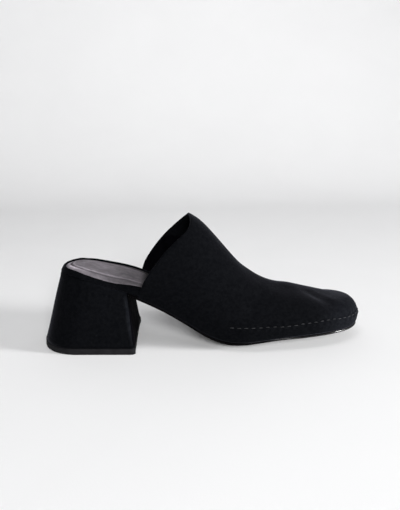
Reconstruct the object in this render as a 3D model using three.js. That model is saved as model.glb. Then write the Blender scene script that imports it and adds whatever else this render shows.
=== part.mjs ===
// Block heel mule, the right shoe of a pair, in black suede.
// Millimetres, +Z up, toe towards +X, outer side of the foot towards -Y.
// While it is modelled, x is measured from the back of the seat and z from the floor.

import * as THREE from 'three';
import { mergeVertices } from 'three/addons/utils/BufferGeometryUtils.js';

// Driving sizes

const LENGTH = 235; // seat back to toe tip, along the footbed
const BALL_WIDTH = 71; // footbed across the ball of the foot
const SEAT_ROUND = 33; // length of the round back of the seat
const SEAT_HEIGHT = 57.3; // underside of the footbed at the seat back
const CROWN = 5.4; // how much the sole's edges rise above its middle at the ball
const INSTEP_HEIGHT = 102.4; // top of the vamp above the floor
const TOE_POLE = 13; // where the front wall of the toe reaches its flat top

const FOOTBED_THICK = 7; // wrapped footbed under the heel, its edge shows as a band
const BAND_LEAN = 2; // the band's top leans in by this
const BAND_ROUND = 1.8; // rounding of the band's top edge

const SOCK_THICK = 1.2; // grey leather sock on the footbed
const SOCK_INSET = 1.8; // its edge inside the band's leaning side
const SOCK_ROUND = 0.8; // rounding of its top edge

const WALL = 1.8; // suede with its lining
const BULGE = 4; // how far the vamp's sides swell over its lower edge
const STRIP_HEIGHT = 9.5; // strip that runs round the toe, from the sole to its seam
const STRIP_PROUD = 0.8; // its thickness over the vamp
const STRIP_START = 134; // where the strip comes out of the side, from the seat back
const STRIP_FADE = 12; // length over which it comes out
const SEAM_STEP = 0.7; // height taken by the step at the seam

const SOLE_THICK = 2.3; // thin outsole
const SOLE_INSET = 1; // its edge inside the upper's side
const SOLE_ROUND = 0.7; // rounding under its edge
const SOLE_PAD = 1.2; // extra thickness of the sole's middle, flat where it stands

const BREAST_TOP = 53.2; // front face of the heel where it meets the footbed
const BREAST_FOOT = 58; // the same face at the bottom
const HEEL_BACK = 14.2; // how far the heel's foot reaches behind the seat
const HEEL_WIDTH = 74.5; // heel across its foot, at the front
const HEEL_ROUND = 31; // length of the round back of the heel's foot
const HEEL_TAPER = 0.96; // its width where the round back begins, as a share
const HEEL_INSET = 0.7; // heel's top edge inside the band
const CORNER_FOOT = 4.5; // radius of the front corners at the foot
const CORNER_TOP = 4; // radius of the front corners at the top

const LIFT_THICK = 4.4; // top piece that the heel stands on
const LIFT_PROUD = 0.3; // its side outside the heel's
const LIFT_FLARE = 0.2; // its foot outside its top
const LIFT_EDGE = 0.5; // broken lower edge

const GAP = 0.3; // between pieces that meet

// Shape tables. `along` is a share of LENGTH from the seat back.

// Plan of the footbed: half-widths and middle line as shares of BALL_WIDTH.
const PLAN = [
  { along: 0.0, outer: 0.345, inner: 0.345, middle: 0 },
  { along: 0.1, outer: 0.352, inner: 0.35, middle: 0 },
  { along: 0.2, outer: 0.35, inner: 0.342, middle: 0 },
  { along: 0.3, outer: 0.355, inner: 0.325, middle: 0 },
  { along: 0.4, outer: 0.385, inner: 0.33, middle: 0 },
  { along: 0.5, outer: 0.44, inner: 0.385, middle: 0 },
  { along: 0.6, outer: 0.49, inner: 0.455, middle: 0 },
  { along: 0.7, outer: 0.49, inner: 0.5, middle: 0.005 },
  { along: 0.8, outer: 0.455, inner: 0.475, middle: 0.02 },
  { along: 0.9, outer: 0.39, inner: 0.42, middle: 0.04 },
  { along: 1.0, outer: 0.32, inner: 0.375, middle: 0.06 },
];
const SEAT_POWER = 2.3; // roundness of the seat back, 2 is an ellipse
const TOE_ROUND = 0.15; // length of the toe's rounded end, as a share of LENGTH
const TOE_POWER = { outer: 2.1, inner: 3.5 }; // squareness of its two corners

// Footbed: height of its underside as a share of SEAT_HEIGHT, rise of its edges as a share of
// CROWN, thickness as a share of FOOTBED_THICK, and the sole's pad as a share of SOLE_PAD.
const BOTTOM = [
  { along: 0.0, height: 1.0, crown: 0, thick: 0.7, pad: 0 },
  { along: 0.07, height: 0.98, crown: 0, thick: 0.71, pad: 0 },
  { along: 0.143, height: 0.908, crown: 0, thick: 0.73, pad: 0 },
  { along: 0.222, height: 0.796, crown: 0, thick: 0.92, pad: 0 },
  { along: 0.292, height: 0.665, crown: 0.1, thick: 1.06, pad: 0 },
  { along: 0.358, height: 0.515, crown: 0.3, thick: 0.95, pad: 0 },
  { along: 0.424, height: 0.333, crown: 0.6, thick: 0.75, pad: 0 },
  { along: 0.49, height: 0.15, crown: 0.87, thick: 0.6, pad: 0.5 },
  { along: 0.55, height: 0.052, crown: 1.0, thick: 0.5, pad: 1 },
  { along: 0.605, height: 0.043, crown: 1.0, thick: 0.48, pad: 1 },
  { along: 0.66, height: 0.078, crown: 0.92, thick: 0.46, pad: 0.2 },
  { along: 0.73, height: 0.132, crown: 0.75, thick: 0.45, pad: 0 },
  { along: 0.81, height: 0.176, crown: 0.5, thick: 0.45, pad: 0 },
  { along: 0.89, height: 0.207, crown: 0.28, thick: 0.45, pad: 0 },
  { along: 1.0, height: 0.24, crown: 0.0, thick: 0.45, pad: 0 },
];

// Upper: ridge height as a share of INSTEP_HEIGHT, swell of the sides as a share of BULGE and
// the share of the height where it is widest, squareness of the section (2 is an ellipse), and
// height of the strip's seam as a share of STRIP_HEIGHT.
const UPPER = [
  { along: 0.2, ridge: 1.22, swell: 0.7, level: 0.4, square: 2.7, seam: 1.75 },
  { along: 0.3, ridge: 1.12, swell: 0.95, level: 0.4, square: 2.75, seam: 1.75 },
  { along: 0.42, ridge: 1.006, swell: 0.95, level: 0.4, square: 2.7, seam: 1.75 },
  { along: 0.465, ridge: 0.945, swell: 0.85, level: 0.37, square: 2.45, seam: 1.75 },
  { along: 0.505, ridge: 0.849, swell: 0.8, level: 0.34, square: 2.25, seam: 1.75 },
  { along: 0.545, ridge: 0.741, swell: 0.75, level: 0.3, square: 2.15, seam: 1.7 },
  { along: 0.588, ridge: 0.626, swell: 0.7, level: 0.3, square: 2.1, seam: 1.58 },
  { along: 0.63, ridge: 0.531, swell: 0.6, level: 0.3, square: 2.15, seam: 1.32 },
  { along: 0.675, ridge: 0.465, swell: 0.55, level: 0.32, square: 2.2, seam: 1.12 },
  { along: 0.72, ridge: 0.425, swell: 0.5, level: 0.35, square: 2.35, seam: 1.02 },
  { along: 0.805, ridge: 0.38, swell: 0.45, level: 0.38, square: 2.7, seam: 1.0 },
  { along: 0.875, ridge: 0.328, swell: 0.4, level: 0.4, square: 3.1, seam: 1.02 },
  { along: 0.925, ridge: 0.323, swell: 0.35, level: 0.4, square: 3.3, seam: 1.0 },
  { along: 1.0, ridge: 0.31, swell: 0.3, level: 0.4, square: 3.3, seam: 0.98 },
];

// Edge of the opening seen from the side: its height as a share of INSTEP_HEIGHT, and x on the
// outer and the inner side as a share of LENGTH. The inner side reaches further back.
const TOPLINE = [
  { height: 0.3, outer: 0.25, inner: 0.25 },
  { height: 0.4, outer: 0.2565, inner: 0.2565 },
  { height: 0.46, outer: 0.266, inner: 0.262 },
  { height: 0.52, outer: 0.277, inner: 0.269 },
  { height: 0.6, outer: 0.295, inner: 0.2845 },
  { height: 0.68, outer: 0.3215, inner: 0.31 },
  { height: 0.78, outer: 0.3565, inner: 0.344 },
  { height: 0.86, outer: 0.397, inner: 0.378 },
  { height: 0.92, outer: 0.427, inner: 0.404 },
  { height: 0.96, outer: 0.434, inner: 0.421 },
  { height: 1.0, outer: 0.432, inner: 0.431 },
  { height: 1.3, outer: 0.43, inner: 0.432 },
];

// How finely the faces are divided
const SIDE_STEPS = 34; // along the upper, opening to toe tip
const LOWER_ROWS = [0, 0.35, 0.7]; // rows on the strip, as shares of its height
const UPPER_ROWS = 10; // rows from the seam to the ridge
const PLATE_STEPS = 36; // along the footbed and sole
const PLATE_ACROSS = 6;
const SOLE_ACROSS = 12;
const LIFT_ACROSS = 2;
const HEEL_STEPS = 20;
const HEEL_ROWS = 4;
const CORNER_STEPS = 5;
const ROUND_STEPS = 3; // across a rounded edge
const TRACE_STEPS = 600; // along an outline while its length is measured
const SLOPE_REACH = 1.2; // length to each side that gives an outline's direction
const TOP_ROUNDS = 4; // corrections of the toe's top height
const WELD = 1e-3; // points closer than this are one

// Smooth curve through one column of a table

function curve(table, name, key = 'along') {
  const at = table.map((row) => row[key]);
  const value = table.map((row) => row[name]);
  const last = at.length - 1;
  const slope = at.map((_, i) => {
    const low = Math.max(i - 1, 0);
    const high = Math.min(i + 1, last);
    return (value[high] - value[low]) / (at[high] - at[low]);
  });
  return (s) => {
    if (s <= at[0]) return value[0] + slope[0] * (s - at[0]);
    if (s >= at[last]) return value[last] + slope[last] * (s - at[last]);
    let i = 0;
    while (s > at[i + 1]) i += 1;
    const span = at[i + 1] - at[i];
    const t = (s - at[i]) / span;
    const a = (1 + 2 * t) * (1 - t) * (1 - t) * value[i];
    const b = t * (1 - t) * (1 - t) * span * slope[i];
    const c = t * t * (3 - 2 * t) * value[i + 1];
    const d = t * t * (t - 1) * span * slope[i + 1];
    return a + b + c + d;
  };
}

const bend = (share, power) => Math.pow(Math.max(0, 1 - Math.pow(share, power)), 1 / power);
const smooth = (low, high, x) => THREE.MathUtils.smoothstep(x, low, high);

// Plan of the last

const planWidth = { outer: curve(PLAN, 'outer'), inner: curve(PLAN, 'inner') };
const planMiddle = curve(PLAN, 'middle');
const SIGN = { outer: -1, inner: 1 };

function middleAt(x) {
  return BALL_WIDTH * planMiddle(x / LENGTH);
}

function halfWidth(side, x) {
  const toeStart = LENGTH * (1 - TOE_ROUND);
  let width = BALL_WIDTH * planWidth[side](x / LENGTH);
  if (x < SEAT_ROUND) width *= bend(1 - x / SEAT_ROUND, SEAT_POWER);
  if (x > toeStart) width *= bend((x - toeStart) / (LENGTH - toeStart), TOE_POWER[side]);
  return width;
}

// The outline of one side as closely spaced points with its running length and outward normal
function traceOutline(side) {
  const points = [];
  for (let i = 0; i <= TRACE_STEPS; i += 1) {
    const x = (LENGTH * (1 - Math.cos((Math.PI * i) / TRACE_STEPS))) / 2;
    points.push(new THREE.Vector2(x, middleAt(x) + SIGN[side] * halfWidth(side, x)));
  }
  const length = [0];
  for (let i = 1; i < points.length; i += 1) {
    length.push(length[i - 1] + points[i].distanceTo(points[i - 1]));
  }
  return { side, points, length, total: length[length.length - 1] };
}

const OUTLINE = { outer: traceOutline('outer'), inner: traceOutline('inner') };

function lengthAtX(line, x) {
  let i = 0;
  while (i < line.points.length - 2 && line.points[i + 1].x < x) i += 1;
  const a = line.points[i];
  const b = line.points[i + 1];
  const t = THREE.MathUtils.clamp((x - a.x) / (b.x - a.x), 0, 1);
  return THREE.MathUtils.lerp(line.length[i], line.length[i + 1], t);
}

function pointAt(line, run) {
  let low = 0;
  let high = line.length.length - 1;
  while (high - low > 1) {
    const mid = (low + high) >> 1;
    if (line.length[mid] <= run) low = mid;
    else high = mid;
  }
  const t = (run - line.length[low]) / (line.length[high] - line.length[low]);
  return line.points[low].clone().lerp(line.points[high], t);
}

// Point of the outline at a running length, moved out of the foot by `out`
function outlineAt(side, run, out = 0) {
  const line = OUTLINE[side];
  const point = pointAt(line, run);
  const before = pointAt(line, Math.max(run - SLOPE_REACH, 0));
  const after = pointAt(line, Math.min(run + SLOPE_REACH, line.total));
  const along = after.sub(before).normalize();
  if (run <= 0) along.set(0, SIGN[side]);
  if (run >= line.total) along.set(0, -SIGN[side]);
  const normal = new THREE.Vector2(-along.y, along.x).multiplyScalar(SIGN[side]);
  return point.addScaledVector(normal, out);
}

// Heights

const bottomHeight = curve(BOTTOM, 'height');
const bottomCrown = curve(BOTTOM, 'crown');
const bottomThick = curve(BOTTOM, 'thick');
const bottomPad = curve(BOTTOM, 'pad');
const ridgeShare = curve(UPPER, 'ridge');
const swellShare = curve(UPPER, 'swell');
const swellLevel = curve(UPPER, 'level');
const seamShare = curve(UPPER, 'seam');
const squareAt = curve(UPPER, 'square');
const toplineShare = {
  outer: curve(TOPLINE, 'outer', 'height'),
  inner: curve(TOPLINE, 'inner', 'height'),
};

// Distance from the middle line as a share of half the ball's width
const sideShare = (x, y) => (y - middleAt(x)) / (BALL_WIDTH / 2);

// Underside of the footbed, which the upper's lower edge also follows
function bed(x, y) {
  const s = THREE.MathUtils.clamp(x / LENGTH, 0, 1);
  return SEAT_HEIGHT * bottomHeight(s) + CROWN * bottomCrown(s) * sideShare(x, y) ** 2;
}

// Underside of the sole, thicker towards its middle at the ball and never under the floor
function soleLow(x, y) {
  const pad = SOLE_PAD * bottomPad(x / LENGTH) * Math.max(0, 1 - sideShare(x, y) ** 2);
  return Math.max(0, soleTop(x, y) - SOLE_THICK - pad);
}

const footbedThick = (x) => FOOTBED_THICK * bottomThick(THREE.MathUtils.clamp(x / LENGTH, 0, 1));

const footbedTop = (x, y) => bed(x, y) + footbedThick(x);
const sockLow = (x, y) => footbedTop(x, y) + GAP;
const sockTop = (x, y) => sockLow(x, y) + SOCK_THICK;
const soleTop = (x, y) => bed(x, y) - GAP;
const ridge = (x) => INSTEP_HEIGHT * ridgeShare(x / LENGTH);
const topline = (side, z) => LENGTH * toplineShare[side](z / INSTEP_HEIGHT);

// Building closed skins out of grids of points

class Skin {
  constructor() {
    this.positions = [];
  }

  triangle(a, b, c) {
    const flat = a.distanceTo(b) < WELD || b.distanceTo(c) < WELD || c.distanceTo(a) < WELD;
    if (!flat) this.positions.push(...a, ...b, ...c);
  }

  patch(grid) {
    for (let i = 0; i + 1 < grid.length; i += 1) {
      for (let k = 0; k + 1 < grid[i].length; k += 1) {
        this.triangle(grid[i][k], grid[i + 1][k], grid[i + 1][k + 1]);
        this.triangle(grid[i][k], grid[i + 1][k + 1], grid[i][k + 1]);
      }
    }
  }

  geometry() {
    const geometry = new THREE.BufferGeometry();
    const flat = new Float32Array(this.positions);
    geometry.setAttribute('position', new THREE.BufferAttribute(flat, 3));
    return mergeVertices(geometry, WELD);
  }
}

const at = (point, z) => new THREE.Vector3(point.x, point.y, z);

// A slab with a left and a right side, each a list of stations that hold their edge points
// from low to high. Its low and high faces are grids between the two sides.
function slab(left, rightSide, across, lowAt, highAt) {
  const skin = new Skin();
  const open = (i) => left[i][0].distanceTo(rightSide[i][0]) > GAP;
  const right = rightSide.map((station, i) => (open(i) ? station : left[i]));
  const last = left[0].length - 1;
  const face = (row, height) =>
    left.map((station, i) => {
      const a = station[row];
      const b = right[i][row];
      return Array.from({ length: across + 1 }, (_, k) => {
        if (k === 0) return a;
        if (k === across) return b;
        const p = a.clone().lerp(b, k / across);
        return at(p, height(p.x, p.y));
      });
    });
  const low = face(0, lowAt);
  const high = face(last, highAt);
  const end = (i) =>
    Array.from({ length: last + 1 }, (_, row) =>
      low[i].map((p, k) => {
        if (k === 0) return left[i][row];
        if (k === across) return right[i][row];
        return p.clone().lerp(high[i][k], row / last);
      })
    );
  const reversed = (grid) => grid.map((row) => [...row].reverse());
  skin.patch(reversed(low));
  skin.patch(high);
  skin.patch(left);
  skin.patch(reversed(right));
  if (open(0)) skin.patch(end(0));
  if (open(left.length - 1)) skin.patch(reversed(end(left.length - 1)));
  return skin.geometry();
}

// Stations round one side of the footbed's plan. Each edge row is { out, z(x, y) }.
function edgeStations(side, from, steps, rows) {
  const line = OUTLINE[side];
  const start = lengthAtX(line, from);
  return Array.from({ length: steps + 1 }, (_, i) => {
    const run = THREE.MathUtils.lerp(start, line.total, i / steps);
    return rows.map((row) => {
      const p = outlineAt(side, run, row.out);
      return at(p, row.z(p.x, p.y));
    });
  });
}

// Edge rows that round a side `out` into a top face
function roundTop(out, top, radius) {
  return Array.from({ length: ROUND_STEPS + 1 }, (_, i) => {
    const turn = (Math.PI / 2) * (i / ROUND_STEPS);
    const drop = radius * (1 - Math.sin(turn));
    return { out: out - radius * (1 - Math.cos(turn)), z: (x, y) => top(x, y) - drop };
  });
}

// Pieces

function footbedGeometry() {
  const rows = [{ out: 0, z: bed }, ...roundTop(-BAND_LEAN, footbedTop, BAND_ROUND)];
  const left = edgeStations('outer', 0, PLATE_STEPS, rows);
  const right = edgeStations('inner', 0, PLATE_STEPS, rows);
  return slab(left, right, PLATE_ACROSS, bed, footbedTop);
}

function sockGeometry() {
  const edge = -BAND_LEAN - SOCK_INSET;
  const rows = [{ out: edge, z: sockLow }, ...roundTop(edge, sockTop, SOCK_ROUND)];
  const left = edgeStations('outer', 0, PLATE_STEPS, rows);
  const right = edgeStations('inner', 0, PLATE_STEPS, rows);
  return slab(left, right, PLATE_ACROSS, sockLow, sockTop);
}

function outsoleGeometry() {
  const edge = GAP + WALL - SOLE_INSET;
  const rows = [
    { out: edge - SOLE_ROUND, z: soleLow },
    { out: edge, z: (x, y) => soleLow(x, y) + SOLE_ROUND },
    { out: edge, z: soleTop },
  ];
  const start = BREAST_TOP + 2 * GAP;
  const left = edgeStations('outer', start, PLATE_STEPS, rows);
  const right = edgeStations('inner', start, PLATE_STEPS, rows);
  return slab(left, right, SOLE_ACROSS, soleLow, soleTop);
}

const seamHeight = (x) => STRIP_HEIGHT * seamShare(x / LENGTH);

// Point of the upper's wall at a running length of the outline, `row` counts up to the ridge
function wallPoint(side, run, row) {
  const foot = outlineAt(side, run, GAP + WALL);
  const base = outlineAt(side, run, 0);
  const lowZ = bed(foot.x, foot.y);
  const toeStart = LENGTH * 0.78;
  const past = Math.max(0, base.x - toeStart) / (LENGTH - toeStart);
  const topX = base.x - TOE_POLE * past * past;
  const topY = middleAt(topX);
  const topZ = ridge(topX);
  const s = topX / LENGTH;
  const power = squareAt(s);
  const seam = seamHeight(base.x);
  const turnAt = (level, rise) => Math.asin(Math.pow(Math.min(level / rise, 1), power / 2));
  // The toe's top slopes forward, so the rise is taken where the point itself lies
  let rise = topZ - lowZ;
  let inward = 1;
  let up = 1;
  for (let round = 0; round < TOP_ROUNDS && row < ROWS; round += 1) {
    let turn = turnAt(seam * (LOWER_ROWS[row] ?? 1), rise);
    if (row > SEAM_ROW) {
      const share = (row - SEAM_ROW - 1) / UPPER_ROWS;
      turn = THREE.MathUtils.lerp(turnAt(seam + SEAM_STEP, rise), Math.PI / 2, share);
    }
    inward = 1 - Math.pow(Math.cos(turn), 2 / power);
    up = Math.pow(Math.sin(turn), 2 / power);
    rise = ridge(THREE.MathUtils.lerp(foot.x, topX, inward)) - lowZ;
  }
  const level = rise * up;
  const share = level / (rise * swellLevel(s));
  const swell = share * Math.exp(1 - share) * Math.sqrt(1 - inward);
  const outward = foot.clone().sub(base).normalize();
  const push = BULGE * swellShare(s) * swell;
  return new THREE.Vector3(
    THREE.MathUtils.lerp(foot.x, topX, inward) + outward.x * push,
    THREE.MathUtils.lerp(foot.y, topY, inward) + outward.y * push,
    lowZ + level
  );
}

const SEAM_ROW = LOWER_ROWS.length;
const ROWS = SEAM_ROW + 1 + UPPER_ROWS;

// Running length at which a row of the wall meets the edge of the opening
function openingRun(side, row) {
  const line = OUTLINE[side];
  let low = lengthAtX(line, BREAST_TOP);
  let high = lengthAtX(line, LENGTH * 0.5);
  while (high - low > WELD) {
    const mid = (low + high) / 2;
    const p = wallPoint(side, mid, row);
    if (p.x < topline(side, p.z)) low = mid;
    else high = mid;
  }
  return (low + high) / 2;
}

function upperGeometry() {
  // The vamp's smooth outer face, one side after the other
  const sheet = new Skin();
  const sides = {};
  for (const side of ['outer', 'inner']) {
    const starts = Array.from({ length: ROWS + 1 }, (_, row) => openingRun(side, row));
    sides[side] = Array.from({ length: SIDE_STEPS + 1 }, (_, i) =>
      starts.map((start, row) => {
        const run = THREE.MathUtils.lerp(start, OUTLINE[side].total, i / SIDE_STEPS);
        return wallPoint(side, run, row);
      })
    );
  }
  // The two sides share the ridge and the toe's middle line exactly
  for (let i = 0; i <= SIDE_STEPS; i += 1) {
    sides.inner[i][ROWS] = sides.outer[i][ROWS];
  }
  for (let row = 0; row <= ROWS; row += 1) {
    sides.inner[SIDE_STEPS][row] = sides.outer[SIDE_STEPS][row];
  }
  sheet.patch(sides.outer);
  sheet.patch(sides.inner.map((station) => [...station].reverse()));
  return thicken(sheet.geometry());
}

// How far the strip round the toe stands out at a point of the smooth sheet
function stripProud(p) {
  const level = p.z - bed(p.x, p.y);
  const under = level < seamHeight(p.x) + SEAM_STEP * 0.5 ? 1 : 0;
  return STRIP_PROUD * under * smooth(STRIP_START, STRIP_START + STRIP_FADE, p.x);
}

// A sheet made into a wall: its outer face, an inner face WALL further in, and the rim between
function thicken(sheet) {
  sheet.computeVertexNormals();
  const position = sheet.attributes.position;
  const normal = sheet.attributes.normal;
  const outer = [];
  const inner = [];
  for (let i = 0; i < position.count; i += 1) {
    const p = new THREE.Vector3().fromBufferAttribute(position, i);
    const n = new THREE.Vector3().fromBufferAttribute(normal, i);
    outer.push(p.clone().addScaledVector(n, stripProud(p)));
    inner.push(p.clone().addScaledVector(n, -WALL));
  }
  const skin = new Skin();
  const index = sheet.index.array;
  const edges = new Set();
  for (let i = 0; i < index.length; i += 3) {
    const [a, b, c] = index.slice(i, i + 3);
    skin.triangle(outer[a], outer[b], outer[c]);
    skin.triangle(inner[a], inner[c], inner[b]);
    edges.add(`${a} ${b}`).add(`${b} ${c}`).add(`${c} ${a}`);
  }
  for (const edge of edges) {
    const [a, b] = edge.split(' ').map(Number);
    if (edges.has(`${b} ${a}`)) continue;
    skin.triangle(outer[a], inner[a], inner[b]);
    skin.triangle(outer[a], inner[b], outer[b]);
  }
  return skin.geometry();
}

// Heel. Both outlines run from the middle of the back along one side to the flat breast.

function roundCorner(front, side, radius, sign) {
  return Array.from({ length: CORNER_STEPS + 1 }, (_, i) => {
    const turn = (Math.PI / 2) * (i / CORNER_STEPS);
    const x = front - radius + radius * Math.sin(turn);
    return new THREE.Vector2(x, sign * (side - radius + radius * Math.cos(turn)));
  });
}

// Points at equal steps along a line through the given ones
function evenly(points, steps) {
  const path = new THREE.CurvePath();
  for (let i = 1; i < points.length; i += 1) {
    path.add(new THREE.LineCurve(points[i - 1], points[i]));
  }
  return path.getSpacedPoints(steps);
}

function footOutline(sign, out) {
  const front = BREAST_FOOT + out;
  const back = -HEEL_BACK - out;
  const corner = front - CORNER_FOOT;
  const half = HEEL_WIDTH / 2 + out;
  const straight = front - back - HEEL_ROUND;
  const widthAt = (x) => {
    const taper = THREE.MathUtils.lerp(1, HEEL_TAPER, Math.min(1, (front - x) / straight));
    return half * taper * bend(Math.max(0, 1 - (x - back) / HEEL_ROUND), SEAT_POWER);
  };
  const points = Array.from({ length: TRACE_STEPS + 1 }, (_, i) => {
    const x = back + (corner - back) * Math.pow(i / TRACE_STEPS, 2);
    return new THREE.Vector2(x, sign * widthAt(x));
  });
  const side = evenly(points, HEEL_STEPS);
  return [...side, ...roundCorner(front, widthAt(corner), CORNER_FOOT, sign).slice(1)];
}

function seatOutline(side) {
  const line = OUTLINE[side];
  const end = lengthAtX(line, BREAST_TOP - CORNER_TOP);
  const sideLine = Array.from({ length: HEEL_STEPS + 1 }, (_, i) =>
    outlineAt(side, (end * i) / HEEL_STEPS, -HEEL_INSET)
  );
  const half = Math.abs(sideLine[HEEL_STEPS].y);
  const corner = roundCorner(BREAST_TOP, half, CORNER_TOP, SIGN[side]);
  return [...sideLine, ...corner.slice(1)];
}

function heelGeometry() {
  const top = (x, y) => bed(x, y) - GAP;
  const foot = LIFT_THICK + GAP;
  const sideOf = (side) => {
    const low = footOutline(SIGN[side], 0);
    return seatOutline(side).map((p, i) => {
      const a = at(low[i], foot);
      const b = at(p, top(p.x, p.y));
      return Array.from({ length: HEEL_ROWS + 1 }, (_, row) => a.clone().lerp(b, row / HEEL_ROWS));
    });
  };
  return slab(sideOf('outer'), sideOf('inner'), PLATE_ACROSS, () => foot, top);
}

function liftGeometry() {
  const sideOf = (side) => {
    const low = footOutline(SIGN[side], LIFT_PROUD + LIFT_FLARE - LIFT_EDGE);
    const wide = footOutline(SIGN[side], LIFT_PROUD + LIFT_FLARE);
    const high = footOutline(SIGN[side], LIFT_PROUD);
    return low.map((p, i) => [at(p, 0), at(wide[i], LIFT_EDGE), at(high[i], LIFT_THICK)]);
  };
  return slab(sideOf('outer'), sideOf('inner'), LIFT_ACROSS, () => 0, () => LIFT_THICK);
}

// Materials

const suede = new THREE.MeshStandardMaterial({ color: 0x14141a, roughness: 0.95, metalness: 0 });
const sockLeather = new THREE.MeshStandardMaterial({ color: 0x6a6168, roughness: 0.5, metalness: 0 });
const soleSheet = new THREE.MeshStandardMaterial({ color: 0x1d1d20, roughness: 0.45, metalness: 0 });
const liftRubber = new THREE.MeshStandardMaterial({ color: 0x242427, roughness: 0.4, metalness: 0 });

// Assembly

function piece(name, geometry, material) {
  const mesh = new THREE.Mesh(geometry, material);
  mesh.name = name;
  return mesh;
}

const shoe = new THREE.Group();
shoe.add(
  piece('upper', upperGeometry(), suede),
  piece('outsole', outsoleGeometry(), soleSheet),
  piece('footbed', footbedGeometry(), suede),
  piece('sock_lining', sockGeometry(), sockLeather),
  piece('heel', heelGeometry(), suede),
  piece('heel_lift', liftGeometry(), liftRubber)
);

// The origin is on the floor under the middle of the whole shoe
const box = new THREE.Box3().setFromObject(shoe);
const middle = box.getCenter(new THREE.Vector3());
shoe.position.set(-middle.x, -middle.y, -box.min.z);

const group = new THREE.Group();
group.add(shoe);

export default group;
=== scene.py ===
# %% [markdown]
# # A block heel mule in black suede
#
# The shoe is a slip-on with a deep one-piece vamp, an open back and a flared block heel. Its main
# shapes come from the imported model, whose six solids stand in one shared frame in metres: the
# upper, the outsole, the footbed, the sock lining, the heel and its top piece. Those solids are
# faceted. Finer meshes could be drawn from nothing, but they would drift from the imported sizes.
# So each solid is copied, its loose triangles are joined into quads, and a subdivision
# surface rounds it. Then the soft dents, the sewn seam and the finishes are added.

# %% Load the imported model
import math

import bpy
import numpy as np
from mathutils import Matrix, Vector
from mathutils.bvhtree import BVHTree
from mathutils.kdtree import KDTree


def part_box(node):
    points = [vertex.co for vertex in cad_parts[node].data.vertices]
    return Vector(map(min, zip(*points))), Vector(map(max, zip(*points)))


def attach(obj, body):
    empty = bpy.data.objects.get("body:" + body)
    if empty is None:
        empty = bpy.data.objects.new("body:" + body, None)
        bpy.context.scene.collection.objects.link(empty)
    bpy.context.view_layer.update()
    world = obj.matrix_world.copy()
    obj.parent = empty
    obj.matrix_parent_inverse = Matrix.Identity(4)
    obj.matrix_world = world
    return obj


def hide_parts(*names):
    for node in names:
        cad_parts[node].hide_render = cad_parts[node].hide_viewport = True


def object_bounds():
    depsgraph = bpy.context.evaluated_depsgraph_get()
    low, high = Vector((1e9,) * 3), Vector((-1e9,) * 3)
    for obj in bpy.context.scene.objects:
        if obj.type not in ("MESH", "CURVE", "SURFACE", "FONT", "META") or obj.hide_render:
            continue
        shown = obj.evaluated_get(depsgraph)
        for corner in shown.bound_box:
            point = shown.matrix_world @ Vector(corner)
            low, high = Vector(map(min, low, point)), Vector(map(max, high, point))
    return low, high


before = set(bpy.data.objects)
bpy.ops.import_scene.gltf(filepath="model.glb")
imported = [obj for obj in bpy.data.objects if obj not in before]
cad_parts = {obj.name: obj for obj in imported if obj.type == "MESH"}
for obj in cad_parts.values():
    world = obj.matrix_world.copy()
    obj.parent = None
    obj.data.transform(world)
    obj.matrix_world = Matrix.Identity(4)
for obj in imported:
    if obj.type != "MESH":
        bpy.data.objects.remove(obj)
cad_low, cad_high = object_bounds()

MM = 0.001
print("packed nodes:", sorted(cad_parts))

# %% [markdown]
# ## Camera
#
# The photograph was taken from close by, a little above the shoe, straight at its outer side. A
# view can be matched by eye, but here the camera's place and lens were worked out from the
# shoe's outline in a picture of 400 by 510. The lens is shifted a little, because the shoe sits
# below the middle of the picture while the camera looks at its middle height.

# %% Camera at the photograph's viewing angle
IMAGE_HEIGHT = 510
SENSOR = 36.0
LENS_PIXELS = 612.0
SHIFT_PIXELS = (-3.9, 28.1)
CAMERA_DISTANCE = 0.490
CAMERA_TURN = math.radians(-2.25)
CAMERA_RISE = math.radians(16.9)
LOOK_AT = Vector((0, 0, 0.045))

to_camera = Vector((
    math.sin(CAMERA_TURN) * math.cos(CAMERA_RISE),
    -math.cos(CAMERA_TURN) * math.cos(CAMERA_RISE),
    math.sin(CAMERA_RISE),
))
bpy.ops.object.camera_add(location=LOOK_AT + to_camera * CAMERA_DISTANCE)
camera = bpy.context.object
camera.rotation_euler = to_camera.to_track_quat("Z", "Y").to_euler()
camera.data.sensor_width = SENSOR
camera.data.lens = LENS_PIXELS / IMAGE_HEIGHT * SENSOR
camera.data.shift_x = SHIFT_PIXELS[0] / IMAGE_HEIGHT
camera.data.shift_y = SHIFT_PIXELS[1] / IMAGE_HEIGHT
bpy.context.scene.camera = camera
bpy.context.scene.view_settings.view_transform = "Standard"
print("lens", round(camera.data.lens, 1), "mm")

# %% [markdown]
# ## Working with operators
#
# Blender's operators act on all that is selected, as if by hand. So a piece is always selected
# alone, its edges and faces are chosen in code by a test, and each modifier is applied at once.
# Points can also be moved one by one in edit mode, but a whole table of them is quicker, so their
# places are read into an array, changed there and written back.

# %% Selecting in code
WELD = 0.02 * MM  # points closer than this are one


def select_only(piece):
    bpy.ops.object.select_all(action="DESELECT")
    piece.select_set(True)
    bpy.context.view_layer.objects.active = piece


def edit(piece, mode="EDGE"):
    select_only(piece)
    bpy.ops.object.mode_set(mode="EDIT")
    bpy.ops.mesh.select_mode(type=mode)


def done():
    bpy.ops.object.mode_set(mode="OBJECT")


def choose(piece, mode, is_chosen):
    """Selects the edges or faces that pass a test, and opens the piece in edit mode."""
    edit(piece, mode)
    bpy.ops.mesh.select_all(action="DESELECT")
    done()
    for part in piece.data.edges if mode == "EDGE" else piece.data.polygons:
        part.select = bool(is_chosen(part))
    edit(piece, mode)


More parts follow.
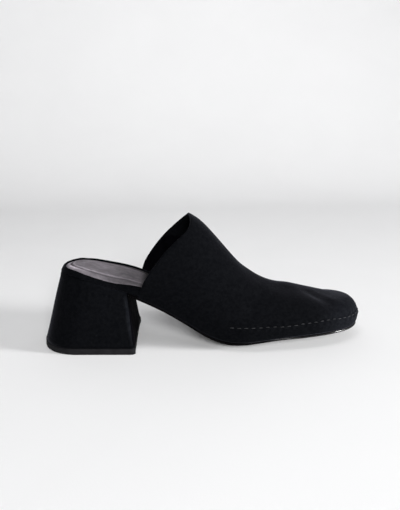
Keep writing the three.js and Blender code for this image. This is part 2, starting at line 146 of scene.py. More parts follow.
def sharp_edges(piece, angle):
    """For each edge, whether its faces meet at more than an angle."""
    edit(piece)
    bpy.ops.mesh.select_all(action="DESELECT")
    bpy.ops.mesh.edges_select_sharp(sharpness=angle)
    done()
    return [edge.select for edge in piece.data.edges]


def apply_modifier(piece, kind, **values):
    select_only(piece)
    modifier = piece.modifiers.new(kind.lower(), kind)
    for name, value in values.items():
        setattr(modifier, name, value)
    bpy.ops.object.modifier_apply(modifier=modifier.name)


# %% Reading and moving points
def vertex_table(piece, name):
    flat = np.empty(len(piece.data.vertices) * 3)
    piece.data.vertices.foreach_get(name, flat)
    return flat.reshape(-1, 3)


def points_of(piece):
    return vertex_table(piece, "co")


def normals_of(piece):
    return vertex_table(piece, "normal")


def move_points(piece, points):
    piece.data.vertices.foreach_set("co", points.reshape(-1))
    piece.data.update()


# %% [markdown]
# ## Floor and light
#
# The floor is a sheet of pale card that curves up behind the shoe, so that no horizon shows. It
# could be a floor and a wall with a soft join, but one sheet needs no join: it starts as a plane
# whose far edge is extruded upwards, and the fold is then bevelled round.
#
# Light slips under the raised toe but not under the arch, so the main soft box stands low and
# far off on the toe's side. A second one in front lights the outer side, and a weak one above
# and the pale room soften the shadows.

# %% Floor and backdrop in one sweep
FLOOR_HALF = 1.6
BACKDROP_AT = 1.3
BACKDROP_HEIGHT = 1.8
SWEEP_RADIUS = 0.7
SWEEP_STEPS = 24


def at_backdrop(edge):
    """Whether an edge lies on the floor along the line where the backdrop rises."""
    ends = [sweep.data.vertices[i].co for i in edge.vertices]
    return all(abs(end.y - BACKDROP_AT) < WELD and abs(end.z) < WELD for end in ends)


bpy.ops.mesh.primitive_plane_add(size=2 * FLOOR_HALF, location=(0, BACKDROP_AT - FLOOR_HALF, 0))
sweep = bpy.context.object
sweep.name = "studio_sweep"
bpy.ops.object.transform_apply(location=True)
choose(sweep, "EDGE", at_backdrop)
bpy.ops.mesh.extrude_region_move(TRANSFORM_OT_translate={"value": (0, 0, BACKDROP_HEIGHT)})
done()
choose(sweep, "EDGE", at_backdrop)
bpy.ops.mesh.bevel(offset=SWEEP_RADIUS, segments=SWEEP_STEPS, affect="EDGES")
done()
bpy.ops.object.shade_smooth()
print("sweep", len(sweep.data.polygons), "faces")

# %% Soft boxes and pale room
ROOM_TONE = (0.97, 0.975, 1.0, 1)
ROOM_STRENGTH = 0.16


def soft_box(name, place, size, watts, spread):
    """A round soft box that looks at the shoe; a grid in front of it narrows its spread."""
    bpy.ops.object.light_add(type="AREA", location=place)
    light = bpy.context.object
    light.name = name
    light.rotation_euler = Vector(place).to_track_quat("Z", "Y").to_euler()
    light.data.shape = "DISK"
    light.data.size = size
    light.data.energy = watts
    light.data.spread = math.radians(spread)


soft_box("toe_side_light", place=(2.6, -0.6, 0.45), size=0.6, watts=22, spread=80)
soft_box("front_light", place=(0.35, -2.3, 1.0), size=0.8, watts=16.5, spread=100)
soft_box("top_light", place=(-0.2, -0.5, 1.5), size=0.8, watts=4, spread=180)

world = bpy.data.worlds.new("pale_room")
world.use_nodes = True
world.node_tree.nodes["Background"].inputs["Color"].default_value = ROOM_TONE
world.node_tree.nodes["Background"].inputs["Strength"].default_value = ROOM_STRENGTH
bpy.context.scene.world = world

# %% [markdown]
# ## Nap and tone
#
# Black suede looks flat in a photograph, but it isn't one black: the nap lies this way and that,
# which gives soft lighter and darker patches, and each fibre catches a little light. Leather,
# rubber and thread are uneven in the same way, only finer. Each could have its own nodes, but one
# node group makes the patches and the fine surface for all, and each finish gives it its own
# values. The nap is too small for geometry, so it is a bump.

# %% Sockets of the node group
nap = bpy.data.node_groups.new("nap_and_tone", "ShaderNodeTree")


def group_socket(name, kind, way, value=None):
    socket = nap.interface.new_socket(name=name, in_out=way, socket_type=kind)
    if value is not None:
        socket.default_value = value


group_socket("Dark", "NodeSocketColor", "INPUT", (0.004, 0.004, 0.006, 1))
group_socket("Light", "NodeSocketColor", "INPUT", (0.010, 0.010, 0.013, 1))
group_socket("Patch Scale", "NodeSocketFloat", "INPUT", 60)
group_socket("Nap Scale", "NodeSocketFloat", "INPUT", 1600)
group_socket("Nap Depth", "NodeSocketFloat", "INPUT", 0.00012)
group_socket("Color", "NodeSocketColor", "OUTPUT")
group_socket("Roughness", "NodeSocketFloat", "OUTPUT")
group_socket("Normal", "NodeSocketVector", "OUTPUT")


# %% Nodes inside the group
def new_node(tree, kind, **values):
    """A node whose settings and sockets are given by name."""
    node = tree.nodes.new(kind)
    for name, value in values.items():
        if hasattr(node, name):
            setattr(node, name, value)
        else:
            node.inputs[name.replace("_", " ")].default_value = value
    return node


def remapped(tree, value, source, target):
    """A value turned from one range into another, and held at its ends."""
    node = new_node(tree, "ShaderNodeMapRange", From_Min=source[0], From_Max=source[1])
    node.inputs["To Min"].default_value, node.inputs["To Max"].default_value = target
    tree.links.new(value, node.inputs["Value"])
    return node.outputs["Result"]


PATCH_RANGE = (0.34, 0.66)
FIBRE_RANGE = (0.2, 0.8)
FIBRE_GAIN = (-0.35, 0.35)
ROUGHNESS = (0.98, 0.82)  # of the darkest and the lightest places

inside = new_node(nap, "NodeGroupInput")
outside = new_node(nap, "NodeGroupOutput")
place = new_node(nap, "ShaderNodeTexCoord")
patches = new_node(nap, "ShaderNodeTexNoise", Detail=3.0, Roughness=0.55, Distortion=0.6)
fibres = new_node(nap, "ShaderNodeTexNoise", Detail=2.0, Roughness=0.7)
patch_share = remapped(nap, patches.outputs["Fac"], PATCH_RANGE, (0, 1))
fibre_share = remapped(nap, fibres.outputs["Fac"], FIBRE_RANGE, FIBRE_GAIN)
blend = new_node(nap, "ShaderNodeMath", operation="ADD", use_clamp=True)
tone = new_node(nap, "ShaderNodeMix", data_type="RGBA")
rough = remapped(nap, blend.outputs["Value"], (0, 1), ROUGHNESS)
bump = new_node(nap, "ShaderNodeBump", Strength=0.8)

# %% Links inside the group
link = nap.links.new
link(place.outputs["Object"], patches.inputs["Vector"])
link(place.outputs["Object"], fibres.inputs["Vector"])
link(inside.outputs["Patch Scale"], patches.inputs["Scale"])
link(inside.outputs["Nap Scale"], fibres.inputs["Scale"])
link(patch_share, blend.inputs[0])
link(fibre_share, blend.inputs[1])
link(blend.outputs["Value"], tone.inputs["Factor"])
link(inside.outputs["Dark"], tone.inputs["A"])
link(inside.outputs["Light"], tone.inputs["B"])
link(fibres.outputs["Fac"], bump.inputs["Height"])
link(inside.outputs["Nap Depth"], bump.inputs["Distance"])
link(tone.outputs["Result"], outside.inputs["Color"])
link(rough, outside.inputs["Roughness"])
link(bump.outputs["Normal"], outside.inputs["Normal"])
print("nap group", len(nap.nodes), "nodes")


# %% A finish, and ways to change its tone
def finish(name, shader_values, group_values):
    """A material with its Principled shader, whose changing inputs come from the nap group."""
    material = bpy.data.materials.new(name)
    material.use_nodes = True
    tree = material.node_tree
    shader = tree.nodes["Principled BSDF"]
    for socket, value in shader_values.items():
        shader.inputs[socket].default_value = value
    surface = tree.nodes.new("ShaderNodeGroup")
    surface.node_tree = nap
    for socket, value in group_values.items():
        surface.inputs[socket].default_value = value
    tree.links.new(surface.outputs["Color"], shader.inputs["Base Color"])
    tree.links.new(surface.outputs["Roughness"], shader.inputs["Roughness"])
    tree.links.new(surface.outputs["Normal"], shader.inputs["Normal"])
    print("finish", name)
    return material


def tone_by(material, factor):
    """Multiplies the tone of a finish by a value."""
    tree = material.node_tree
    shader = tree.nodes["Principled BSDF"]
    toned = new_node(tree, "ShaderNodeVectorMath", operation="SCALE")
    tree.links.new(shader.inputs["Base Color"].links[0].from_socket, toned.inputs["Vector"])
    tree.links.new(factor, toned.inputs["Scale"])
    tree.links.new(toned.outputs["Vector"], shader.inputs["Base Color"])


def along_shoe(tree, zone, values):
    """A value that changes from one to another through a zone along the shoe."""
    where = new_node(tree, "ShaderNodeTexCoord")
    split = new_node(tree, "ShaderNodeSeparateXYZ")
    tree.links.new(where.outputs["Object"], split.inputs["Vector"])
    return remapped(tree, split.outputs["X"], zone, values)


def carried(tree, name):
    """A value that a piece's own mesh carries; it is 0 on a mesh without it."""
    return new_node(tree, "ShaderNodeAttribute", attribute_name=name).outputs["Fac"]


# %% [markdown]
# ## Suede and lining
#
# The suede covers the vamp, the heel and the footbed's edge. A velvet-like sheen alone would look
# like cloth, so it stays faint, and the patches do the work. A painted highlight makes the suede
# lighter where the light falls: on the toe, by its place along the shoe, and on the heel's front
# corners, by a value that the heel's mesh carries. The lining is a smoother and deeper black, and
# it is also painted shade on the heel's front and at the foot of the footbed band.

# %% Black suede
TOE_HIGHLIGHT_ZONE = (85 * MM, 106 * MM)
TOE_HIGHLIGHT_TONES = (1, 2.2)
CORNER_HIGHLIGHT_TONES = (1, 2.1)

suede = finish(
    "black_suede",
    {
        "Specular IOR Level": 0.02,
        "Sheen Weight": 0.05,
        "Sheen Roughness": 0.35,
        "Sheen Tint": (0.8, 0.82, 1.0, 1),
    },
    {
        "Dark": (0.0015, 0.0017, 0.0023, 1),
        "Light": (0.0028, 0.0031, 0.0039, 1),
        "Patch Scale": 420.0,
        "Nap Scale": 1000.0,
        "Nap Depth": 0.00015,
    },
)
tree = suede.node_tree
# painted highlight: the suede grows lighter towards the toe, where the light falls
tone_by(suede, along_shoe(tree, TOE_HIGHLIGHT_ZONE, TOE_HIGHLIGHT_TONES))
# painted highlight on the heel's front corners, read from a value the heel's mesh carries
tone_by(suede, remapped(tree, carried(tree, "corner_highlight"), (0, 1), CORNER_HIGHLIGHT_TONES))

# %% Black lining, also used as painted shade
lining_and_shade = finish(
    "black_lining_and_shade",
    {"Specular IOR Level": 0.01},
    {
        "Dark": (0.0006, 0.0006, 0.0010, 1),
        "Light": (0.0016, 0.0015, 0.0024, 1),
        "Patch Scale": 120.0,
        "Nap Scale": 1100.0,
        "Nap Depth": 0.00006,
    },
)

# %% [markdown]
# ## Sock leather
#
# The sock is smooth grey leather. A foot slides along it, which leaves faint lengthwise streaks.
# The streaks are noise that is stretched along the shoe by a Mapping node. Painted shade and
# painted highlights follow the sock's own groove and edge, which no noise could find, so they are
# stored on its mesh later and only read here.

# %% Grey sock leather with streaks
STREAK_SCALE = (45, 420, 45)
STREAK_RANGE = (0.3, 0.7)
STREAK_TONES = (0.86, 1.16)

sock_leather = finish(
    "grey_sock_leather",
    {"Specular IOR Level": 0.5},
    {
        "Dark": (0.17, 0.153, 0.172, 1),
        "Light": (0.25, 0.227, 0.252, 1),
        "Patch Scale": 130.0,
        "Nap Scale": 1200.0,
        "Nap Depth": 0.00005,
    },
)
tree = sock_leather.node_tree
where = new_node(tree, "ShaderNodeTexCoord")
stretch = new_node(tree, "ShaderNodeMapping", Scale=STREAK_SCALE)
streaks = new_node(tree, "ShaderNodeTexNoise", Scale=1.0, Detail=3.0)
tree.links.new(where.outputs["Object"], stretch.inputs["Vector"])
tree.links.new(stretch.outputs["Vector"], streaks.inputs["Vector"])
tone_by(sock_leather, remapped(tree, streaks.outputs["Fac"], STREAK_RANGE, STREAK_TONES))
# painted shade and highlights, carried on the sock's mesh
tone_by(sock_leather, carried(tree, "painted_light_and_shade"))

# %% [markdown]
# ## Rubber and sole sheet
#
# The heel's top piece is satin rubber, a little greyer than the suede. The sole is a dull sheet
# whose edge was polished only round the toe. A coat over the whole sole would shine underneath
# too, so the coat's weight is read from a value that the sole's mesh carries.

# %% Satin rubber, and a sheet with a polished edge
lift_rubber = finish(
    "satin_lift_rubber",
    {"Specular IOR Level": 0.25, "Coat Weight": 0.02, "Coat Roughness": 0.3},
    {
        "Dark": (0.0022, 0.0021, 0.0031, 1),
        "Light": (0.0038, 0.0036, 0.0050, 1),
        "Patch Scale": 140.0,
        "Nap Scale": 2600.0,
        "Nap Depth": 0.00003,
    },
)
sole_sheet = finish(
    "satin_sole_sheet",
    {"Specular IOR Level": 0.02, "Coat Roughness": 0.2},
    {
        "Dark": (0.0016, 0.0015, 0.0017, 1),
        "Light": (0.0030, 0.0028, 0.0030, 1),
        "Patch Scale": 120.0,
        "Nap Scale": 2400.0,
        "Nap Depth": 0.00004,
    },
)
tree = sole_sheet.node_tree
tree.links.new(carried(tree, "polish"), tree.nodes["Principled BSDF"].inputs["Coat Weight"])

# %% [markdown]
# ## Threads and paper
#
# The toe's seam is sewn with a waxed thread that is a little lighter than the suede. Its tone
# changes along the shoe: painted shade makes it darker along the sides, and a painted highlight
# makes it lighter at the toe, where the light falls.
# The sock's thread is dark grey. The studio's paper is hardly uneven at all.

# %% Threads for the toe and the sock
THREAD_LIGHT_ZONE = (60 * MM, 90 * MM)
THREAD_LIGHT_TONES = (0.7, 1.5)

thread = finish(
    "waxed_black_thread",
    {"Specular IOR Level": 0.5},
    {
        "Dark": (0.004, 0.004, 0.0052, 1),
        "Light": (0.012, 0.012, 0.0145, 1),
        "Patch Scale": 300.0,
        "Nap Scale": 3200.0,
        "Nap Depth": 0.0001,
    },
)
# painted shade along the sides, painted highlight towards the toe
tone_by(thread, along_shoe(thread.node_tree, THREAD_LIGHT_ZONE, THREAD_LIGHT_TONES))
sock_thread = finish(
    "grey_sock_thread",
    {"Specular IOR Level": 0.4},
    {
        "Dark": (0.018, 0.016, 0.020, 1),
        "Light": (0.040, 0.036, 0.043, 1),
        "Patch Scale": 300.0,
        "Nap Scale": 3200.0,
        "Nap Depth": 0.0001,
    },
)

# %% Paper of the sweep
paper = finish(
    "pale_paper",
    {"Specular IOR Level": 0.1},
    {
        "Dark": (0.875, 0.875, 0.878, 1),
        "Light": (0.895, 0.895, 0.898, 1),
        "Patch Scale": 4.0,
        "Nap Scale": 900.0,
        "Nap Depth": 0.00005,
    },
)
sweep.data.materials.append(paper)

# %% [markdown]
# ## From facets to smooth pieces
#
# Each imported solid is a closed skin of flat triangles. Shading it smooth would hide the facets
# but not round its outline. So its copy has its doubles merged and its triangle pairs joined to
# quads, because a subdivision surface rounds quads evenly. Edges that stay crisp on the real
# shoe, such as the heel's rim, get a crease before it is subdivided.

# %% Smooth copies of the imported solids
QUAD_ANGLE = math.radians(50)


def clean_copy(node, name):
    """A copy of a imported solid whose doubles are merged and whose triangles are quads."""
    piece = bpy.data.objects.new(name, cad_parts[node].data.copy())
    bpy.context.scene.collection.objects.link(piece)
    piece.data.materials.clear()
    edit(piece)
    bpy.ops.mesh.select_all(action="SELECT")
    bpy.ops.mesh.remove_doubles(threshold=WELD)
    bpy.ops.mesh.tris_convert_to_quads(face_threshold=QUAD_ANGLE, shape_threshold=QUAD_ANGLE)
    done()
    return piece


def rounded(piece, levels, crisp_degrees=None, crease=0.8):
    """Subdivides a piece, and keeps the edges that are sharper than an angle crisp."""
    if crisp_degrees is not None:
        crisp = sharp_edges(piece, math.radians(crisp_degrees))
        weights = piece.data.attributes.new("crease_edge", "FLOAT", "EDGE")
        weights.data.foreach_set("value", [crease * is_crisp for is_crisp in crisp])
    apply_modifier(piece, "SUBSURF", levels=levels, render_levels=levels)
    select_only(piece)
    bpy.ops.object.shade_smooth()


def smooth_copy(node, name, levels, crisp_degrees=None, crease=0.8):
    piece = clean_copy(node, name)
    rounded(piece, levels, crisp_degrees, crease)
    return piece


# %% Handing a piece over: its finish, its body and what it stands for
def put_on(piece, material, node):
    piece.data.materials.append(material)
    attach(piece, "root")
    if node is not None:
        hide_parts(node)
    triangles = sum(len(face.vertices) - 2 for face in piece.data.polygons)
    print(piece.name, triangles, "triangles")


def deep_black_faces(piece, lined):
    """Gives the lining's deep black to some faces of a piece, by a list with one answer for each face.
    It is real lining inside the vamp, and painted shade on the heel's front and the band's foot.
    """
    piece.data.materials.append(lining_and_shade)
    for face in piece.data.polygons:
        face.material_index = int(lined[face.index])


def carry(piece, name, values):
    """Stores a value for each point on a piece's mesh, for its finish to read."""
    piece.data.attributes.new(name, "FLOAT", "POINT").data.foreach_set("value", values)


# %% [markdown]
# ## Soft shaping
#
# Leather has no sudden steps. Each dent, rim and bead below is a height in millimetres, times
# one or more shares between 0 and 1 that say where it acts. A share rises or falls softly
# through a zone, or is a hump on both sides of a line. Sculpting could make the same forms, but
# by hand they couldn't be given a size.

# %% Shares that rise, fall or make a hump
def rising(value, zone):
    start, end = zone
    share = np.clip((value - start) / (end - start), 0, 1)
    return share * share * (3 - 2 * share)


def falling(value, zone):
    return 1 - rising(value, zone)


def hump(distance, width):
    return np.exp(-((distance / width) ** 2))


# %% Lines, and how far points are from them
def to_path(points, path):
    """How far each point is from a line of points."""
    nearest = np.full(len(points), 1.0)
    for start, end in zip(path[:-1], path[1:]):
        run = end - start
        share = np.clip((points - start) @ run / (run @ run), 0, 1)
        foot = start + share[:, None] * run
        nearest = np.minimum(nearest, np.linalg.norm(points - foot, axis=1))
    return nearest


def evenly(path, step):
    """Points at equal steps along a line."""
    sides = np.linalg.norm(np.diff(path, axis=0), axis=1)
    run = np.concatenate([[0], np.cumsum(sides)])
    at = np.linspace(0, run[-1], int(round(run[-1] / step)) + 1)
    return np.stack([np.interp(at, run, column) for column in path.T], axis=1)


def nearest_on(path, points):
    """For each point, the number of the nearest point of a path, and the distance to it."""
    tree = KDTree(len(path))
    for index, place in enumerate(path):
        tree.insert(Vector(place).to_3d(), index)
    tree.balance()
    found = [tree.find(Vector(point).to_3d())[1:] for point in points]
    return np.array([index for index, _ in found]), np.array([far for _, far in found])


# %% Outlines in plan, and heights in slices
EDGE_STEP = 0.5 * MM
UPRIGHT = 0.3  # a face whose normal rises less than this stands upright
SLICE_OVERLAP = 1 * MM
NEIGHBOUR = 4  # a direction is read from the points this many places ahead and behind


def plan_ring(node):
    """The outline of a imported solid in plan, as close points that go once round it."""
    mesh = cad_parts[node].data
    rim = set()
    for face in mesh.polygons:
        if abs(face.normal.z) < UPRIGHT:
            rim.update(face.vertices)
    places = {tuple(np.round(mesh.vertices[i].co[:2], 6)) for i in rim}
    ring = np.array(sorted(places, key=lambda p: math.atan2(p[1], p[0])))
    ring = np.vstack([ring, ring[:1]])
    return evenly(ring, EDGE_STEP)


def ring_normals(ring):
    """The way out of an outline at each of its points."""
    along = np.roll(ring, -NEIGHBOUR, axis=0) - np.roll(ring, NEIGHBOUR, axis=0)
    out = np.stack([along[:, 1], -along[:, 0]], axis=1)
    return out / np.linalg.norm(out, axis=1)[:, None]


def heights_in_slices(points, step):
    """Places along the shoe, and the lowest and highest point in a slice at each of them."""
    slices = np.arange(points[:, 0].min(), points[:, 0].max(), step)
    near = [np.abs(points[:, 0] - x) < step + SLICE_OVERLAP for x in slices]
    low = np.array([points[rows, 2].min() for rows in near])
    high = np.array([points[rows, 2].max() for rows in near])
    return slices, low, high


# %% [markdown]
# ## Heel and top piece
#
# The heel is a hollow plastic block with suede pulled round it, so its edges are soft and its
# walls stay flat. It could be modelled from a cube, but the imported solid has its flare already.
# Its foot gets squarer front corners, and its top a lip where the suede is turned in. The thin
# top piece that it stands on is bare, and its edges are crisper.

# %% Squarer front corners at the heel's foot
heel_low, heel_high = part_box("heel")
HEEL_HALF = (heel_high[1] - heel_low[1]) / 2
HEEL_MIDDLE = (heel_high[1] + heel_low[1]) / 2
CORNER = 5.5 * MM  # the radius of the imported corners
CORNER_START = 0.01  # share of the radius past which a point is in the corner
ROUND_POWER = 2.0  # a corner of this power is part of a circle
SQUARE_POWER = 3.6


def squarer_corners(points, power):
    """Turns the round front corners of the heel's foot into squarer ones."""
    x = (points[:, 0] - (heel_high[0] - CORNER)) / CORNER
    y = (np.abs(points[:, 1] - HEEL_MIDDLE) - (HEEL_HALF - CORNER)) / CORNER
    inside_corner = (x > CORNER_START) & (y > CORNER_START)
    x, y = np.maximum(x, CORNER_START), np.maximum(y, CORNER_START)
    grow = np.hypot(x, y) / (x**power + y**power) ** (1 / power)
    grow = np.where(inside_corner, grow, 1)
    points[:, 0] += x * CORNER * (grow - 1)
    points[:, 1] += y * CORNER * (grow - 1) * np.sign(points[:, 1] - HEEL_MIDDLE)


# %% Heel cover with a turned lip
SQUARE_BELOW = (0, 25 * MM)  # height zone in which the corners turn round
BACK_LIP = 0.3 * MM
LIP_GAIN = 0.5 * MM
LIP_GAIN_ZONE = (-112 * MM, -92 * MM)
LIP_DEPTH = (0.4 * MM, 3 * MM)
LIP_OFF_FLOOR = (0, 8 * MM)
FULLER_BACK = 0.6 * MM
FULLER_HEIGHT = (10 * MM, 45 * MM)
FULLER_ZONE = (-118 * MM, -100 * MM)

heel = smooth_copy("heel", "heel_cover", 2, crisp_degrees=40, crease=0.7)
points = points_of(heel)
squareness = falling(points[:, 2], SQUARE_BELOW)
squarer_corners(points, ROUND_POWER + (SQUARE_POWER - ROUND_POWER) * squareness)
slices, _, tops = heights_in_slices(points, 4 * MM)
under_top = np.interp(points[:, 0], slices, tops) - points[:, 2]
lip = BACK_LIP + LIP_GAIN * rising(points[:, 0], LIP_GAIN_ZONE)
lip *= falling(under_top, LIP_DEPTH) * rising(points[:, 2], LIP_OFF_FLOOR)
back = rising(points[:, 2], FULLER_HEIGHT) * falling(points[:, 0], FULLER_ZONE)
points[:, :2] += normals_of(heel)[:, :2] * (lip + FULLER_BACK * back)[:, None]
move_points(heel, points)
put_on(heel, suede, "heel")

# %% Painted highlight on the heel's front corners, painted shade on its front
CORNER_HIGHLIGHT_RISE = (0.05, 0.45)  # how much a point faces the toe, from the side wall on
CORNER_HIGHLIGHT_FALL = (0.7, 0.95)
CORNER_HIGHLIGHT_HEIGHT = (6 * MM, 20 * MM)
FRONT_FACING = 0.8

facing = normals_of(heel)[:, 0]
corner_highlight = rising(facing, CORNER_HIGHLIGHT_RISE) * falling(facing, CORNER_HIGHLIGHT_FALL)
# painted highlight on the front corners, which turn towards the light
carry(heel, "corner_highlight", corner_highlight * rising(points[:, 2], CORNER_HIGHLIGHT_HEIGHT))
# painted shade: the heel's front, which the forefoot shades, gets the lining's deep black
deep_black_faces(heel, [face.normal.x > FRONT_FACING for face in heel.data.polygons])

# %% Top piece under the heel
lift = smooth_copy("heel_lift", "heel_top_piece", 2, crisp_degrees=35, crease=1.0)
points = points_of(lift)
squarer_corners(points, SQUARE_POWER)
move_points(lift, points)
put_on(lift, lift_rubber, "heel_lift")

# %% [markdown]
# ## Sole
#
# The sole is a thin sheet with a ground and polished edge. At the toe it stands out a little
# under the strip, where its upper corner catches the light as a fine bright line. A crease would
# keep that corner too sharp for a highlight, so only this corner is bevelled first. The sheet is
# then pushed out along its own outline.

# %% Bevel along the sole's upper corner
EDGE_BEVEL = 1.1 * MM
SOLE_CORNER = math.radians(50)
UPWARD_FACE = 0.7

sole = clean_copy("outsole", "sole")
is_sharp = sharp_edges(sole, SOLE_CORNER)
rises_beside = {}
for face in sole.data.polygons:
    for key in face.edge_keys:
        rises_beside[key] = max(face.normal.z, rises_beside.get(key, -1))
choose(sole, "EDGE", lambda edge: is_sharp[edge.index] and rises_beside[edge.key] > UPWARD_FACE)
bpy.ops.mesh.bevel(offset=EDGE_BEVEL, segments=3, affect="EDGES")
done()
rounded(sole, 1, crisp_degrees=42, crease=0.8)

# %% Edge that stands out at the toe, and its polish
TOE_OVERHANG = 1.9 * MM
OVERHANG_ZONE = (48 * MM, 78 * MM)
OVERHANG_REACH = (0, 4 * MM)
TOE_DROP = 1.3 * MM  # the toe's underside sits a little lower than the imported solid's
TOE_DROP_ZONE = (98 * MM, 122 * MM)
POLISH = 0.6
POLISH_ZONE = (45 * MM, 75 * MM)
POLISH_DOWNWARD = (0.5, 0.85)


def toe_drop(points):
    return TOE_DROP * rising(points[:, 0], TOE_DROP_ZONE)


ring = plan_ring("outsole")
points = points_of(sole)
index, far = nearest_on(ring, points[:, :2])
push = TOE_OVERHANG * rising(points[:, 0], OVERHANG_ZONE) * falling(far, OVERHANG_REACH)
points[:, :2] += push[:, None] * ring_normals(ring)[index]
points[:, 2] -= toe_drop(points)
move_points(sole, points)
put_on(sole, sole_sheet, "outsole")
polish = POLISH * rising(points[:, 0], POLISH_ZONE)
carry(sole, "polish", polish * falling(-normals_of(sole)[:, 2], POLISH_DOWNWARD))

# %% [markdown]
# ## Footbed band and sock
#
# The footbed's suede edge shows as a band over the heel. On it lies a grey leather sock, whose
# edge rolls down over the footbed's rounded side, with a row of small stitches pressed into a
# groove inside it. Towards the arch the inner side is cupped, so its rim rises there. Band and
# sock roll and rise together, so both read the same two functions, by how far a point lies from
# the footbed's outline.

# %% Where along and across the shoe
ACROSS = (-12 * MM, 12 * MM)
BACK_ZONE = (-102 * MM, -84 * MM)
NEAR_VAMP = (-74 * MM, -42 * MM)
UNDER_VAMP = (-42 * MM, -20 * MM)


def inner_share(points):
    return rising(points[:, 1], ACROSS)


def back_share(points):
    return falling(points[:, 0], BACK_ZONE)


def near_vamp(points):
    return rising(points[:, 0], NEAR_VAMP)


def behind_vamp(points):
    """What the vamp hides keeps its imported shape, so changes fade out under it."""
    return falling(points[:, 0], UNDER_VAMP)


# %% How the rim rolls and rises
ROLL_DROP = 2.8 * MM
ROLL_WIDTH = 6.5 * MM
LEAST_ROLL = 0.15  # share of the roll that the inner side keeps
INNER_ROLL_ZONE = (-110 * MM, -88 * MM)
LEAST_CUP = 0.2 * MM
CUP_GAIN = 2.2 * MM
CUP_ZONE = (-95 * MM, -48 * MM)
CUP_REACH = (3 * MM, 13 * MM)
band_ring = plan_ring("footbed")


def roll_over(points, far):
    """How much the rim drops, most on the outer side, by its distance from the outline."""
    drop = ROLL_DROP * np.clip(1 - far / ROLL_WIDTH, 0, 1) ** 2
    outer = 1 - rising(points[:, 0], INNER_ROLL_ZONE) * inner_share(points)
    return drop * (LEAST_ROLL + (1 - LEAST_ROLL) * outer)


def cup_height(points, far):
    """How much the rim rises, most on the inner side, until the vamp hides it."""
    height = LEAST_CUP + CUP_GAIN * rising(points[:, 0], CUP_ZONE) * inner_share(points)
    return height * behind_vamp(points) * falling(far, CUP_REACH)


# %% Footbed band, pushed out over the heel
BAND_PUSH = 1.4 * MM
BACK_PUSH = 0.7 * MM  # added at the back
LOWER_TUCK = 1.0 * MM  # the lower edge goes in behind the heel's lip
VAMP_FILL = 2.3 * MM  # closes the slit between the footbed and the vamp under the arch
FILL_START = (-46 * MM, -38 * MM)
FILL_END = (5 * MM, 20 * MM)
BAND_REACH = (3 * MM, 9 * MM)
UPPER_SHARE = (0.1, 0.8)  # shares of the band's height
LOWER_SHARE = (0, 0.35)

band = smooth_copy("footbed", "footbed_band", 2, crisp_degrees=60, crease=0.5)
points = points_of(band)
index, far = nearest_on(band_ring, points[:, :2])
slices, lows, highs = heights_in_slices(points, 4 * MM)
low = np.interp(points[:, 0], slices, lows)
high = np.interp(points[:, 0], slices, highs)
height_share = (points[:, 2] - low) / (high - low)
upward = rising(height_share, UPPER_SHARE)
behind = behind_vamp(points)
fill = VAMP_FILL * rising(points[:, 0], FILL_START) * falling(points[:, 0], FILL_END)
push = (BAND_PUSH + BACK_PUSH * back_share(points)) * upward * behind + fill
push *= falling(far, BAND_REACH)
push -= LOWER_TUCK * falling(height_share, LOWER_SHARE) * behind
points[:, :2] += push[:, None] * ring_normals(band_ring)[index]
far = far - push
print("band pushed by up to", round(push.max() / MM, 1), "mm")

# %% Rolled rim of the band, with a bead along it
INNER_BEAD = 1.4 * MM
BACK_BEAD = 2.5 * MM
SIDE_BEAD = 0.5 * MM
VAMP_BEAD_GAIN = 0.7 * MM
BEAD_IN = 0.4 * MM
BEAD_WIDTH = 1.7 * MM
SHADE_BELOW = 0.15  # share of the way up, below which the band gets the lining's deep black as painted shade

points[:, 2] += upward * (cup_height(points, far) - roll_over(points, far) * behind)
bead = np.maximum(INNER_BEAD * inner_share(points), BACK_BEAD * back_share(points))
bead = np.maximum(bead, SIDE_BEAD + VAMP_BEAD_GAIN * near_vamp(points))
points[:, 2] += upward * bead * behind * hump(far - BEAD_IN, BEAD_WIDTH)
move_points(band, points)
put_on(band, suede, "footbed")
# painted shade: the band's foot gets the lining's deep black, a dark gap above the heel
deep_black_faces(band, [upward[list(face.vertices)].max() < SHADE_BELOW for face in band.data.polygons])

# %% Sock, wider over the arch and drawn in beside the vamp
SOCK_PUSH = 2.0 * MM
SOCK_PUSH_ZONE = (-104 * MM, -66 * MM)
SOCK_PUSH_REACH = (0, 8 * MM)
SOCK_TUCK = 4.2 * MM


def sock_push(points):
    """How far the sock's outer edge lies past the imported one."""
    wider = SOCK_PUSH * rising(points[:, 0], SOCK_PUSH_ZONE) - SOCK_TUCK * near_vamp(points)
    return wider * behind_vamp(points) * (1 - inner_share(points))


sock = smooth_copy("sock_lining", "sock", 2)
sock_ring = plan_ring("sock_lining")
points = points_of(sock)
index, far = nearest_on(sock_ring, points[:, :2])
push = sock_push(points) * falling(far, SOCK_PUSH_REACH)
points[:, :2] += push[:, None] * ring_normals(sock_ring)[index]
move_points(sock, points)
sock_ring = sock_ring + sock_push(sock_ring)[:, None] * ring_normals(sock_ring)

# %% Finer faces where the sock's groove will be
GROOVE_IN = 4.4 * MM  # from the sock's edge
FINER_REACHES = (3.0 * MM, 1.8 * MM)
TOP_FACE = 0.5  # how much a face or point of the sock's top looks up, at least

for reach in FINER_REACHES:
    centres = np.array([face.center[:2] for face in sock.data.polygons])
    _, far = nearest_on(sock_ring, centres)
    at_groove = (np.abs(far - GROOVE_IN) < reach) & (centres[:, 0] < 0)
    choose(sock, "FACE", lambda face: at_groove[face.index] and face.normal.z > TOP_FACE)
    bpy.ops.mesh.subdivide(number_cuts=1)
    done()
print("sock", len(sock.data.polygons), "faces")

